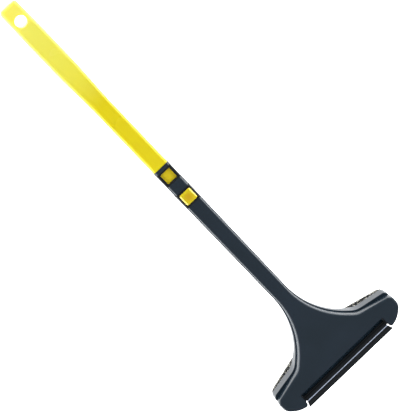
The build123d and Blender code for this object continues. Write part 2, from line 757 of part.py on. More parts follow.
def blade_frame_point(across, along):
    """Side-view place in the leaning frame of the blade, from the top of the rail's slot."""
    lean = math.radians(BLADE_ANGLE)
    ey, ez = -math.sin(lean), math.cos(lean)
    ny, nz = math.cos(lean), math.sin(lean)
    base_y = BLADE_REACH * math.sin(lean) + BLADE_THICKNESS / 2 * math.cos(lean)
    base_z = BLADE_TOP_Z - BLADE_REACH * math.cos(lean) - BLADE_THICKNESS / 2 * math.sin(lean)
    return base_y + across * ny + along * ey, base_z + across * nz + along * ez


def leaning(points, x_half):
    """Prism across X from points given across and along the blade."""
    corners = [blade_frame_point(across, along) for across, along in points]
    return side_prism(corners, [0] * len(corners), x_half)


def bead_points(gap):
    """Section of the blade's bead and web inside the rail, grown by a gap."""
    web = BLADE_THICKNESS / 2 + gap
    bead = BLADE_BEAD / 2 + gap
    top = gap - RAIL_LIP
    low = -RAIL_LIP - BLADE_BEAD_HEIGHT
    if gap:
        return [(-bead, low), (bead, low), (bead, top), (web, top),
                (web, OVERRUN), (-web, OVERRUN), (-web, top), (-bead, top)]
    return [(-bead, low), (bead, low), (bead, top), (web, top),
            (web, BLADE_REACH), (-web, BLADE_REACH), (-web, top), (-bead, top)]


def blade_rail():
    """Rail with a slot for the blade's bead and a foot on the shelf."""
    half = RAIL_DEPTH / 2
    rail = leaning([(-half, -RAIL_HEIGHT), (half, -RAIL_HEIGHT), (half, 0), (-half, 0)], RAIL_HALF)
    foot = block(RAIL_HALF, FRONT_Y, RAIL_FOOT_END_Y, SHELF_Z, SHELF_Z + RAIL_FOOT)
    slot = leaning(bead_points(RAIL_CLEARANCE), OVERRUN * 2)
    under = block(OVERRUN * 2, FRONT_Y, OVERRUN, 0, SHELF_Z)
    rail = rail + foot - slot - under
    for x, y in rail_screw_spots():
        top = SHELF_Z + RAIL_SCREW_BITE
        rail -= post(x, y, SHELF_Z, top + SCREW_FIT, RAIL_SCREW_RADIUS + SCREW_FIT)
    return rail


def squeegee_blade():
    """Rubber strip, wider at its free edge than in the rail."""
    strip_body = leaning(bead_points(0), BLADE_END_HALF)
    plan = mirrored_face(
        [(RAIL_HALF, OVERRUN), (RAIL_HALF, FRONT_Y), (BLADE_END_HALF, BLADE_END_Y),
         (BLADE_END_HALF, -OVERRUN)],
        [0, 0, 0, 0],
    )
    return strip_body & upright(plan, 0, BLADE_TOP_Z + OVERRUN)


def rail_screws():
    head = SHELF_Z - SHELL_WALL - RAIL_SCREW_HEAD_HEIGHT
    tip = SHELF_Z + RAIL_SCREW_BITE
    return Compound(children=[
        screw(x, y, head, tip, RAIL_SCREW_RADIUS, RAIL_SCREW_HEAD_RADIUS, RAIL_SCREW_HEAD_HEIGHT)
        for x, y in rail_screw_spots()
    ])


# Sponge, net and pad plate

def peg_spots():
    places = list(zip(PEG_ACROSS_SHARES, PEG_Y_PLACES))
    return [(side * share * EAR_HALF, y) for share, y in places for side in (-1, 1)]


def pad_plate():
    """Plate with split pegs that snap into the lower shell."""
    plate = upright(sponge_face(PLATE_EDGE), PAD_PLATE_BOTTOM, RIM_Z)
    top = RIM_Z + SHELL_WALL + PEG_OVER
    for x, y in peg_spots():
        peg = post(x, y, RIM_Z, top, PEG_RADIUS)
        slit = Pos(x, y, (RIM_Z + top) / 2) * Box(PEG_SLIT, 2 * PEG_RADIUS, top - RIM_Z)
        plate += peg - slit
    return plate


def sponge():
    body = upright(sponge_face(NET_CLEARANCE), NET_THICKNESS, PAD_PLATE_BOTTOM)
    low = body.faces().sort_by(Axis.Z)[0]
    return fillet(low.edges(), NET_ROUND)


def net_gap_places():
    """Middles of the net's gaps, in rows that fit inside the flat part of the sponge."""
    flat = sponge_face(NET_ROUND + NET_PITCH / 2)
    box = flat.bounding_box()
    rows = int((box.max.Y - box.min.Y) / NET_PITCH)
    columns = int(box.max.X / NET_PITCH)
    middle = (box.max.Y + box.min.Y) / 2
    places = []
    for row in range(-rows, rows + 1):
        y = middle + row * NET_PITCH / 2
        for column in range(-columns, columns + 1):
            x = (column + row % 2 / 2) * NET_PITCH
            if flat.is_inside((x, y, 0)):
                places.append((x, y))
    return places


def scrub_net():
    """Net drawn over the sponge: open gaps below, a plain skirt up its sides."""
    skin = upright(sponge_face(-NET_THICKNESS), 0, NET_TOP)
    skin = fillet(skin.faces().sort_by(Axis.Z)[0].edges(), NET_ROUND + NET_THICKNESS)
    inside = upright(sponge_face(0), NET_THICKNESS, RIM_Z)
    inside = fillet(inside.faces().sort_by(Axis.Z)[0].edges(), NET_ROUND)
    window_face = sponge_face(NET_ROUND + NET_CLEARANCE)
    skirt = skin - inside - upright(window_face, 0, NET_THICKNESS)
    half = NET_PITCH / 2 - NET_STRAND * math.sqrt(2) / 2
    gaps = []
    for x, y in net_gap_places():
        corners = [(x - half, y), (x, y - half), (x + half, y), (x, y + half)]
        gaps.append(Wire(Polyline(*corners, close=True).edges()))
    floor = Face(window_face.faces()[0].outer_wire(), gaps)
    print("net gaps", len(gaps))
    return skirt + extrude(floor, amount=NET_THICKNESS, dir=(0, 0, 1))


def net_hem():
    """Cord in the net's gathered edge, close under the lower shell."""
    height = RIM_Z - HEM_GAP - HEM_RADIUS
    path = (Pos(0, 0, height) * sponge_face(-NET_THICKNESS / 2)).faces()[0].outer_wire()
    section = Plane(origin=path @ 0, z_dir=path % 0) * Circle(HEM_RADIUS)
    return sweep(section, path=path)


# Yellow handle

def grip_face(inset):
    """Plan outline of the handle, in its own frame."""
    taper = NECK_LENGTH + SHOULDER_GAP + GRIP_TAPER_LENGTH
    swell = NECK_LENGTH + SHOULDER_GAP + GRIP_SWELL_LENGTH
    corners = [
        (GRIP_END_HALF - inset, HANDLE_END - inset),
        (GRIP_HALF - inset, (swell + HANDLE_END) / 2),
        (GRIP_HALF - inset, swell),
        (GRIP_JOINT_HALF - inset, taper),
        (GRIP_JOINT_HALF - inset, NECK_LENGTH + SHOULDER_GAP),
    ]
    blend = GRIP_BLEND_RADIUS
    return mirrored_face(corners, [GRIP_CORNER_RADIUS, blend, blend, blend, 0])


def grip_body():
    """Outside of the handle with rounded long edges and the hang hole."""
    body = upright(grip_face(0), -GRIP_DEPTH_HALF, GRIP_DEPTH_HALF)
    edges = [e for e in body.edges() if is_grip_edge(e)]
    body = fillet(edges, GRIP_ROUND)
    hole_y = HANDLE_END - HANG_HOLE_INSET
    return body - post(0, hole_y, -OVERRUN, OVERRUN, HANG_HOLE_RADIUS)


def is_grip_edge(edge):
    """True for the top and bottom edges, without those at the shoulder."""
    spot = edge @ 0.5
    flat = abs(abs(spot.Z) - GRIP_DEPTH_HALF) < GRIP_ROUND / 8
    return flat and spot.Y > NECK_LENGTH + GRIP_ROUND


def grip_hollow():
    """Inside of the handle: the stem's seat, then an open room up to the hang hole."""
    depth = GRIP_DEPTH_HALF - GRIP_WALL
    start = STEM_START + STEM_ROOT + STEM_WALL
    end = HANDLE_END - HANG_HOLE_INSET - HANG_HOLE_RADIUS - HANG_HOLE_WALL
    room = upright(grip_face(GRIP_WALL + GRIP_ROUND / 4), -depth, depth)
    room = room & block(GRIP_HALF, start, end, -depth, depth)
    seat = STEM_HALF + SEAT_CLEARANCE
    seat_depth = STEM_DEPTH_HALF + SEAT_CLEARANCE
    return room + block(seat, NECK_LENGTH, STEM_START + STEM_ROOT, -seat_depth, seat_depth)


def grip_screw_spots():
    return [(0, STEM_START + share * GRIP_LENGTH) for share in GRIP_SCREW_SHARES]


def pin_space(gap):
    reach = STEM_HALF + PIN_REACH
    bores = []
    for place in PIN_PLACES:
        turn = Pos(0, STEM_START + place, 0) * Rot(Y=90)
        bores.append(turn * Cylinder(PIN_RADIUS + gap, 2 * (reach + gap)))
    return bores


def grip_half(side):
    """One half of the handle: 1 for the front, -1 for the rear."""
    radius = SCREW_RADIUS + POST_WALL
    low, high = (0, OVERRUN) if side > 0 else (-OVERRUN, 0)
    cover = block(OVERRUN, 0, HANDLE_END + OVERRUN, low, high)
    half = (grip_body() - grip_hollow()) & cover
    head_bore = SCREW_HEAD_RADIUS + SCREW_CLEARANCE
    depth = GRIP_DEPTH_HALF
    for x, y in grip_screw_spots():
        if side > 0:
            half += post(x, y, 0, depth - GRIP_WALL / 2, radius)
            half -= post(x, y, 0, SCREW_GRIP, SCREW_RADIUS + SCREW_FIT)
        else:
            seat = screw_seat() - depth
            half += post(x, y, GRIP_WALL / 2 - depth, 0, radius)
            half += post(x, y, -depth + GRIP_WALL / 2, seat + GRIP_WALL, head_bore + GRIP_WALL)
            half -= post(x, y, -depth, 0, SCREW_RADIUS + SCREW_CLEARANCE)
            half -= post(x, y, -depth, seat, head_bore)
    for bore in pin_space(SEAT_CLEARANCE / 2):
        half -= bore
    return in_neck(half)


def grip_front():
    return grip_half(1)


def grip_rear():
    return grip_half(-1)


def grip_screws():
    group = screws_up(grip_screw_spots(), lambda y: -GRIP_DEPTH_HALF, 0)
    return Compound(children=[in_neck(solid) for solid in group])


def stem():
    """Tongue of the handle: a box tube at the mouth, then a low channel for the catch."""
    end = NECK_LENGTH - STEM_INSERT
    step = NECK_LENGTH - STEM_STEP
    root = STEM_START + STEM_ROOT
    depth = STEM_DEPTH_HALF
    tube = block(STEM_HALF, step, root, -depth, depth)
    inside = block(
        STEM_HALF - STEM_WALL, step + STEM_WALL, root, STEM_WALL - depth, depth - STEM_WALL
    )
    low = block(STEM_HALF, end, step, -depth, STEM_LOW_TOP)
    channel = block(CHANNEL_HALF, end, step, CHANNEL_FLOOR - depth, STEM_LOW_TOP)
    body = tube - inside + (low - channel)
    for bore in pin_space(SEAT_CLEARANCE / 2):
        body -= bore
    for place in RIVET_PLACES:
        body -= post(0, NECK_LENGTH - place, -depth, 0, RIVET_RADIUS + SEAT_CLEARANCE / 2)
    return in_neck(body)


def stem_pins():
    return Compound(children=[in_neck(pin) for pin in pin_space(0)])


NODES = {
    "front_shell": front_shell,
    "rear_shell": rear_shell,
    "neck_screws": neck_screws,
    "head_screws": head_screws,
    "window_frame": window_frame,
    "button_frame": button_frame,
    "release_button": release_button,
    "button_springs": button_springs,
    "latch_plate": latch_plate,
    "blade_rail": blade_rail,
    "rail_screws": rail_screws,
    "squeegee_blade": squeegee_blade,
    "pad_plate": pad_plate,
    "sponge": sponge,
    "scrub_net": scrub_net,
    "net_hem": net_hem,
    "grip_front": grip_front,
    "grip_rear": grip_rear,
    "grip_screws": grip_screws,
    "stem": stem,
    "stem_pins": stem_pins,
    "catch_spring": catch_spring,
    "catch_rivets": catch_rivets,
}

os.makedirs("parts", exist_ok=True)
for name, make in NODES.items():
    shape = Pos(0, -OVERALL_LENGTH / 2, 0) * make()
    export_step(shape, "parts/" + name + ".step")
print("overall length", OVERALL_LENGTH, "drop", math.degrees(DROP), "crest", CREST_Y)
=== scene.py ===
import bpy
import json
import math
import numpy as np
from mathutils import Matrix, Vector
from mathutils.bvhtree import BVHTree

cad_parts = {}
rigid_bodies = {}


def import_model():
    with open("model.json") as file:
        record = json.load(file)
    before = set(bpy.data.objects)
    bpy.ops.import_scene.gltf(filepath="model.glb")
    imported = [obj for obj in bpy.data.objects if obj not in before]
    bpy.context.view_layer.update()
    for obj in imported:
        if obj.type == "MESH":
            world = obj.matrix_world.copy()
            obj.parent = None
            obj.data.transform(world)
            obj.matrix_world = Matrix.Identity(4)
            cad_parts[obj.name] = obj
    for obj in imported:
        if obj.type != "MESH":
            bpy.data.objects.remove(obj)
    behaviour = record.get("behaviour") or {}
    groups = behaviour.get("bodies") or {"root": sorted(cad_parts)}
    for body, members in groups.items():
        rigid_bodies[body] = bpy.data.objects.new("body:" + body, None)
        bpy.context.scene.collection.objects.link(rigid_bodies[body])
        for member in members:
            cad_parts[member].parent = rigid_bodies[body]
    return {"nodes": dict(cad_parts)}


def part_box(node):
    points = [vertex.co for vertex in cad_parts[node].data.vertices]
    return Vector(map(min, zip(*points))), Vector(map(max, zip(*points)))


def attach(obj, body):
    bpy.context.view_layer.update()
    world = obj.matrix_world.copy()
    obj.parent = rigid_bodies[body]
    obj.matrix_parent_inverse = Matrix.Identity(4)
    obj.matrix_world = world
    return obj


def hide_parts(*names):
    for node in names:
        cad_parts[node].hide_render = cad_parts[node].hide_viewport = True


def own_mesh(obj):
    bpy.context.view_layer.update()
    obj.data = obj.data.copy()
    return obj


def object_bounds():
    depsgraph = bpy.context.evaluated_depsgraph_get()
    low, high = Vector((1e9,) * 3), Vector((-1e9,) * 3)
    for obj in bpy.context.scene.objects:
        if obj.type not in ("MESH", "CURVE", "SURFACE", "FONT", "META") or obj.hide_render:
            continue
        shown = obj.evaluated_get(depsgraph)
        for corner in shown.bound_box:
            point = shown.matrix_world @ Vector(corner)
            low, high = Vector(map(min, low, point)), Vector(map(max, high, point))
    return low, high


# Window scrubber: moulded shells, a yellow handle, a rubber blade, and a foam pad under a net.
# Metres. X across the head, Y from the blade to the handle's end, Z up from the floor.

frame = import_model()
NODES = frame["nodes"]
cad_box = [list(corner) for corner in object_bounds()]

MM = 0.001
BLADE_EDGE_Y = cad_box[0][1]

# Camera
LEAN = math.radians(20.0)
ROLL = math.radians(43.68)
DISTANCE = 1.6
AIM = Vector((1.85, -20.6, 20.0)) * MM
SENSOR = 36.0
FOCAL_PIXELS = 1383.2
FRAME_HEIGHT = 413

# Blade's lean and the lip of its rail, where a painted highlight runs
BLADE_LEAN = math.radians(60.0)
BLADE_WAY = (0.0, -math.sin(BLADE_LEAN), math.cos(BLADE_LEAN))
RAIL_LIP_PLACE = (0.0, BLADE_EDGE_Y + 6.12 * MM, 39.41 * MM)
LIP_WIDTH = 1.0 * MM

# Foam pad, as in the solid it stands for
EAR_SIDE = 91.8 * MM
PAD_BACK_HALF = 32.0 * MM
PAD_BACK = 47.2 * MM
PAD_SLANT = 16.5 * MM
PAD_EAR_FRONT = 17.8 * MM
PAD_TAPER = 79.6 * MM
PAD_FRONT = 9.5 * MM
PAD_BACK_RADIUS = 20.0 * MM
PAD_CORNER_RADIUS = 7.74 * MM
PAD_ROUND = 3.0 * MM
PAD_LOW = 0.8 * MM
PAD_TOP = 14.6 * MM
OUTLINE_STEP = 0.5 * MM
ARC_STEPS = 24

# How the stuffed pad swells past that solid, and its foam between the strands
SWELL = 2.4 * MM
SWELL_DEPTH = 3.5 * MM
SWELL_RISE = 6.0 * MM
SWELL_SIDE_SHARE = 0.25
BULGE_LOW = 0.45 * MM
BULGE_SIDE = 1.5 * MM
BULGE_FADE = 1.5 * MM
BULGE_SHARPNESS = 0.55
STRAND_SINK_SHARE = 0.35
DOWN_FACE_Z = -0.7
SIDE_FACE_Z = 0.5
FOAM_LOWEST = 0.15 * MM
WELD = 0.01 * MM
VOXEL = 1.05 * MM
SOFTEN_PASSES = 4

# Net and its drawcord
NET_PITCH = 5.6 * MM
STRAND_RADIUS = 0.58 * MM
STRAND_STEP = 0.9 * MM
STRAND_LIFT = 0.3 * MM
STRAND_ROUNDNESS = 1
SHORTEST_RUN = 4
WEAVE = 0.3 * MM
NET_TOP = 15.6 * MM
HEM_HEIGHT = 14.3 * MM
HEM_RADIUS = 0.75 * MM
HEM_OFFSET = 2.1 * MM
HEM_TIGHT = 0.4
HEM_ROUNDNESS = 2
HEM_THIN_SHARE = 0.7
HEM_LUMP_SHARE = 0.8

# Least lengths that a sum divides by, in metres
LEAST_LENGTH = 1e-9
LEAST_DROP = 1e-6

# Colours
SLATE_DARK = "#162128"
SLATE_LIGHT = "#1c2834"
FRAME_DARK = "#090a0b"
FRAME_LIGHT = "#0e0f10"
YELLOW_NEAR = "#e4cf00"
# Paler yellows towards the handle's hanging end: a painted sheen
YELLOW_HALF_SHEEN = "#f0e148"
YELLOW_FULL_SHEEN = "#f6ea62"
# Stem yellow, brighter than the handle's: painted light against the shade in the window's recess
STEM_YELLOW = "#fbdc04"
# Button: orange-yellow in the middle, paler edge as a painted highlight on the bevels
BUTTON_CENTRE = "#c69406"
BUTTON_EDGE_HIGHLIGHT = "#d2bc0c"
RUBBER_DARK = "#020508"
RUBBER_BLOOM = "#090d11"
RAIL_DARK = "#06090b"
RAIL_LIGHT = "#0c1114"
# Pale grey along the rail's lip: a painted highlight
LIP_HIGHLIGHT_GREY = "#a7afc0"
ZINC_DARK = "#9a9da0"
ZINC_LIGHT = "#b9bcbe"
PLATE_DARK = "#101214"
PLATE_LIGHT = "#1a1c1f"
FOAM_DARK = "#b5b1a4"
FOAM_LIGHT = "#c9c6bb"
# Darker colour in the foam's pores: painted shade
FOAM_PORE_SHADE = "#a39e8c"
# Drawcord: black, partly the cord's own colour and partly painted shade of the gap under the shell
CORD_DARK = "#060606"
CORD_LIGHT = "#151616"
YARN_DARK = "#1f2021"
YARN_LIGHT = "#3c3d3c"
PAPER_DARK = "#f2f2f2"
PAPER_LIGHT = "#f6f6f6"

# Sizes of the patterns in the finishes
SLATE_CLOUD = 55.6 * MM
SLATE_GRAIN = 1.43 * MM
FRAME_CLOUD = 16.7 * MM
YELLOW_CLOUD = 71.4 * MM
YELLOW_GRAIN = 2.0 * MM
STEM_CLOUD = 25.0 * MM
BLOOM_PATCH = 14.3 * MM
DRAWN_LENGTH = 125.0 * MM
DRAWN_WIDTH = 1.11 * MM
SPANGLE = 3.33 * MM
PLATE_CLOUD = 25.0 * MM
FOAM_PORE = 0.91 * MM
FOAM_CLOUD = 16.7 * MM
BRAID_PITCH = 1.21 * MM
TWIST_PITCH = 0.9 * MM
PAPER_CLOUD = 500.0 * MM
SLATE_GRAIN_DEPTH = 0.03 * MM
YELLOW_GRAIN_DEPTH = 0.02 * MM
DRAWN_DEPTH = 0.02 * MM
PORE_DEPTH = 0.4 * MM
YARN_DEPTH = 0.1 * MM

# Length after which a wave texture of scale 1 repeats, and the range most noise lies in
WAVE_LENGTH = math.pi / 10
NOISE_LOW = 0.3
NOISE_HIGH = 0.7

# Where the handle's yellow turns paler as a painted sheen, and the painted highlight round the button's
# edge
YELLOW_WANDER = 50.0 * MM
YELLOW_SHEEN_START = (165.0 * MM, 215.0 * MM)
YELLOW_SHEEN_SPAN = (210.0 * MM, 300.0 * MM)
YELLOW_SCATTER = (1.0, 0.9, 0.3)
YELLOW_SCATTER_DEPTH = 4.0 * MM
# Radii over which the button turns from its own orange to the painted edge highlight
BUTTON_HIGHLIGHT_RING = (4.5 * MM, 8.5 * MM)
# Share of the lip's width where the painted highlight begins
LIP_EDGE_SHARE = 0.85

# Floor and lights. Strip heights and sides are parts of a direction one long.
FLOOR_HALF = 6.0
FLOOR_GLOW = 1.9
SIDE_GLOW = 9.0
SHOULDER_GLOW = 1.9
STRIP_HEIGHTS = (0.14, 0.36)
STRIP_SIDES = (0.45, 0.75)
TENT_GLOW = 0.33
TENT_COLOUR = (0.94, 0.97, 1.0, 1.0)


# Helpers

def linear(code):
    """A hex sRGB colour as linear RGBA."""
    parts = [int(code[i:i + 2], 16) / 255 for i in (1, 3, 5)]
    return [p / 12.92 if p <= 0.04045 else ((p + 0.055) / 1.055) ** 2.4 for p in parts] + [1.0]


def fill(tree, node, inputs):
    """Sets a node's inputs, or links them where a socket is given."""
    for key, value in inputs.items():
        if isinstance(value, bpy.types.NodeSocket):
            tree.links.new(value, node.inputs[key])
        else:
            node.inputs[key].default_value = value


def add(tree, kind, inputs, **settings):
    """Adds a node with its settings, values and links."""
    made = tree.nodes.new(kind)
    for key, value in settings.items():
        setattr(made, key, value)
    fill(tree, made, inputs)
    return made


def new_material(name):
    """A node material, with its tree, its surface and the object coordinates."""
    made = bpy.data.materials.new(name)
    made.use_nodes = True
    tree = made.node_tree
    place = add(tree, "ShaderNodeTexCoord", {}).outputs["Object"]
    return made, tree, tree.nodes["Principled BSDF"], place


def deselect():
    for o in bpy.context.view_layer.objects:
        o.select_set(False)


def activate(piece):
    deselect()
    piece.select_set(True)
    bpy.context.view_layer.objects.active = piece


def dress(node, material):
    """Gives a carried-over CAD node its material."""
    slots = NODES[node].data.materials
    slots.clear()
    slots.append(material)


# Pad outline and the way a flat net wraps round it

def pad_corners(inset):
    """Corners and radii of the pad's right half, from back to front."""
    y = BLADE_EDGE_Y
    corners = [
        (PAD_BACK_HALF - inset / 2, y + PAD_BACK - inset),
        (EAR_SIDE - inset, y + PAD_BACK - PAD_SLANT - inset),
        (EAR_SIDE - inset, y + PAD_EAR_FRONT + inset / 2),
        (PAD_TAPER - inset / 2, y + PAD_FRONT + inset),
    ]
    corner = PAD_CORNER_RADIUS - inset
    return corners, [PAD_BACK_RADIUS, corner, corner, PAD_BACK_RADIUS]


def pad_outline(inset):
    """Closed outline of the pad with rounded corners, as evenly spaced points."""
    half, radii = pad_corners(inset)
    corners = [Vector(c) for c in half] + [Vector((-x, y)) for x, y in reversed(half)]
    radii = radii + radii[::-1]
    points = []
    for i, corner in enumerate(corners):
        back = (corners[i - 1] - corner).normalized()
        ahead = (corners[(i + 1) % len(corners)] - corner).normalized()
        half_angle = back.angle(ahead) / 2
        middle = corner + (back + ahead).normalized() * radii[i] / math.sin(half_angle)
        first = corner + back * radii[i] / math.tan(half_angle) - middle
        last = corner + ahead * radii[i] / math.tan(half_angle) - middle
        for k in range(ARC_STEPS + 1):
            points.append(middle + first.slerp(last, k / ARC_STEPS) * radii[i])
    closed = np.array([*points, points[0]])
    runs = np.concatenate([[0], np.cumsum(np.linalg.norm(np.diff(closed, axis=0), axis=1))])
    places = np.linspace(0, runs[-1], int(runs[-1] / OUTLINE_STEP), endpoint=False)
    return np.stack([np.interp(places, runs, closed[:, k]) for k in (0, 1)], axis=1)


def inside(points, outline):
    """True where flat points are inside a closed outline."""
    hit = np.zeros(len(points), bool)
    for (ax, ay), (bx, by) in zip(outline, np.roll(outline, -1, axis=0)):
        crosses = (ay > points[:, 1]) != (by > points[:, 1])
        at = ax + (points[:, 1] - ay) * (bx - ax) / (by - ay if by != ay else 1)
        hit ^= crosses & (points[:, 0] < at)
    return hit


def nearest(points, outline):
    """Nearest outline point, distance to it and outward direction for flat points."""
    found = np.array([outline[((outline - p) ** 2).sum(1).argmin()] for p in points])
    away = points - found
    size = np.linalg.norm(away, axis=1)
    return found, size, away / np.maximum(size, LEAST_LENGTH)[:, None]


EDGE = pad_outline(0)
FOOT = pad_outline(PAD_ROUND)
FOOT_MIDDLE_Y = (FOOT[:, 1].min() + FOOT[:, 1].max()) / 2
QUARTER = math.pi / 2 * PAD_ROUND
NET_REACH = NET_TOP - PAD_LOW - PAD_ROUND + QUARTER


def swollen(out_y, height):
    """How far the stuffed pad stands out past its plate, most along its back."""
    rise = np.clip((height - PAD_LOW) / SWELL_RISE, 0, 1)
    share = SWELL_SIDE_SHARE + (1 - SWELL_SIDE_SHARE) * np.maximum(out_y, 0)
    return SWELL * share * rise


def wrap(flat):
    """Places and outward directions on the pad for points of the flat net."""
    lies = inside(flat, FOOT)
    foot, far, out = nearest(flat, FOOT)
    turn = np.clip(far / PAD_ROUND, 0, math.pi / 2)
    up = np.maximum(far - QUARTER, 0)
    height = PAD_LOW + PAD_ROUND * (1 - np.cos(turn)) + up
    side = foot + out * (PAD_ROUND * np.sin(turn) + swollen(out[:, 1], height))[:, None]
    place = np.column_stack([side, height])
    face = np.column_stack([out * np.sin(turn)[:, None], -np.cos(turn)])
    place[lies] = np.column_stack([flat[lies], np.full(lies.sum(), PAD_LOW)])
    face[lies] = (0, 0, -1)
    return place, face, np.where(lies, 0, far)


def unwrap(place):
    """Where points on the pad lie in the flat net."""
    flat = place[:, :2]
    lies = inside(flat, FOOT)
    foot, far, out = nearest(flat, FOOT)
    rise = place[:, 2] - PAD_LOW
    turn = np.arctan2(far, np.maximum(PAD_ROUND - rise, LEAST_DROP))
    along = np.where(rise < PAD_ROUND, turn * PAD_ROUND, QUARTER + rise - PAD_ROUND)
    spread = foot + out * along[:, None]
    return np.where(lies[:, None], flat, spread)


# Foam pad, its net and the drawcord

def foam_pad(material):
    """Open-cell foam that swells between the strands of its net."""
    source = NODES["sponge"]
    piece = bpy.data.objects.new("foam_pad", source.data.copy())
    bpy.context.scene.collection.objects.link(piece)
    activate(piece)
    bpy.ops.object.mode_set(mode="EDIT")
    bpy.ops.mesh.select_all(action="SELECT")
    bpy.ops.mesh.remove_doubles(threshold=WELD)
    bpy.ops.object.mode_set(mode="OBJECT")
    piece.data.remesh_voxel_size = VOXEL
    bpy.ops.object.voxel_remesh()
    smooth = piece.modifiers.new("soften", "SMOOTH")
    smooth.iterations = SOFTEN_PASSES
    bpy.ops.object.modifier_apply(modifier=smooth.name)
    mesh = piece.data
    count = len(mesh.vertices)
    place = np.zeros(count * 3)
    mesh.vertices.foreach_get("co", place)
    place = place.reshape(-1, 3)
    face = np.array([v.normal for v in mesh.vertices])
    flat = unwrap(place)
    across = (flat[:, 0] + flat[:, 1] - FOOT_MIDDLE_Y) / NET_PITCH
    along = (flat[:, 0] - flat[:, 1] + FOOT_MIDDLE_Y) / NET_PITCH
    cell = np.abs(np.cos(math.pi * across) * np.cos(math.pi * along)) ** BULGE_SHARPNESS
    height = np.where(face[:, 2] < DOWN_FACE_Z, BULGE_LOW, BULGE_SIDE)
    fade = np.clip((PAD_TOP - place[:, 2]) / BULGE_FADE, 0, 1)
    covered = (face[:, 2] < SIDE_FACE_Z) & (place[:, 2] < PAD_TOP)
    move = np.where(covered, (cell - STRAND_SINK_SHARE) * height * fade, 0)
    place = place + face * move[:, None]
    _, deep, out = nearest(place[:, :2], EDGE)
    out = np.where(inside(place[:, :2], EDGE)[:, None], -out, out)
    push = swollen(out[:, 1], place[:, 2]) * np.clip(1 - deep / SWELL_DEPTH, 0, 1)
    place[:, :2] += out * push[:, None]
    place[:, 2] = np.maximum(place[:, 2], FOAM_LOWEST)
    mesh.vertices.foreach_set("co", place.ravel())
    mesh.update()
    mesh.materials.clear()
    mesh.materials.append(material)
    bpy.ops.object.shade_smooth()
    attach(piece, "head_unit")
    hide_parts("sponge")
    return piece


def curve_piece(name, runs, radius, roundness, cyclic=False, sizes=None):
    """Tubes along runs of points, turned to a mesh."""
    data = bpy.data.curves.new(name, "CURVE")
    data.dimensions = "3D"
    data.bevel_depth = radius
    data.bevel_resolution = roundness
    data.use_fill_caps = True
    for n, run in enumerate(runs):
        line = data.splines.new("POLY")
        line.points.add(len(run) - 1)
        line.points.foreach_set("co", np.column_stack([run, np.ones(len(run))]).ravel())
        line.use_cyclic_u = cyclic
        if sizes is not None:
            line.points.foreach_set("radius", sizes[n])
    piece = bpy.data.objects.new(name, data)
    bpy.context.scene.collection.objects.link(piece)
    activate(piece)
    bpy.ops.object.convert(target="MESH")
    return bpy.context.view_layer.objects.active


def net_halves():
    """Half the flat net's width and length."""
    return (FOOT.max(axis=0) - FOOT.min(axis=0)) / 2 + NET_REACH


def net_runs(foam):
    """Runs of the net's two families of strands over the foam."""
    tree = BVHTree.FromObject(foam, bpy.context.evaluated_depsgraph_get())
    half_x, half_y = net_halves()
    most = int((half_x + half_y) / NET_PITCH) + 1
    runs = []
    for turn in (1, -1):
        for k in range(-most, most):
            offset = (k + 0.5) * NET_PITCH
            x = np.arange(-half_x, half_x, STRAND_STEP / math.sqrt(2))
            y = turn * (offset - x)
            keep = np.abs(y) < half_y
            x, y = x[keep], y[keep]
            if len(x) < SHORTEST_RUN:
                continue
            flat = np.column_stack([x, y + FOOT_MIDDLE_Y])
            place, face, far = wrap(flat)
            other = (x - turn * y) / NET_PITCH - 0.5
            lift = WEAVE * turn * np.cos(math.pi * (other + k))
            ok = far < NET_REACH
            start = None
            for i in range(len(x) + 1):
                if i < len(x) and ok[i]:
                    start = i if start is None else start
                    continue
                if start is not None and i - start >= SHORTEST_RUN:
                    runs.append((place[start:i], face[start:i], lift[start:i]))
                start = None
    made = []
    for place, face, lift in runs:
        points = []
        for p, n, up in zip(place, face, lift):
            hit, _, _, _ = tree.find_nearest(Vector(p))
            gap = (Vector(p) - hit).dot(Vector(n))
            points.append(Vector(p) + Vector(n) * (STRAND_LIFT + up - min(gap, 0)))
        run = np.array(points)
        run[:, 2] = np.maximum(run[:, 2], STRAND_RADIUS)
        made.append(run)
    return made


def scrub_net(foam, material):
    """Knitted net drawn over the foam, strand by strand."""
    piece = curve_piece("net_mesh", net_runs(foam), STRAND_RADIUS, STRAND_ROUNDNESS)
    piece.data.materials.append(material)
    bpy.ops.object.shade_smooth()
    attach(piece, "head_unit")
    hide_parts("scrub_net")
    return piece


def drawcord(material):
    """Cord in the net's gathered edge, with a lump at each loop of the net. Its black is partly the
    cord's own and partly painted shade of the gap between shell and foam.
    """
    ahead = np.roll(EDGE, -1, axis=0) - np.roll(EDGE, 1, axis=0)
    out = np.column_stack([-ahead[:, 1], ahead[:, 0]]) / np.linalg.norm(ahead, axis=1)[:, None]
    loose = HEM_OFFSET * np.maximum(out[:, 1], HEM_TIGHT) + swollen(out[:, 1], HEM_HEIGHT)
    outline = EDGE + out * loose[:, None]
    line = np.column_stack([outline, np.full(len(outline), HEM_HEIGHT)])
    loops = round(len(outline) * OUTLINE_STEP / NET_PITCH)
    turn = np.arange(len(outline)) / len(outline) * 2 * math.pi * loops
    size = HEM_THIN_SHARE + HEM_LUMP_SHARE * np.maximum(np.cos(turn), 0) ** 2
    piece = curve_piece("net_drawcord", [line], HEM_RADIUS, HEM_ROUNDNESS, True, [size])
    piece.data.materials.append(material)
    bpy.ops.object.shade_smooth()
    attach(piece, "head_unit")
    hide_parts("net_hem")
    return piece


# Materials

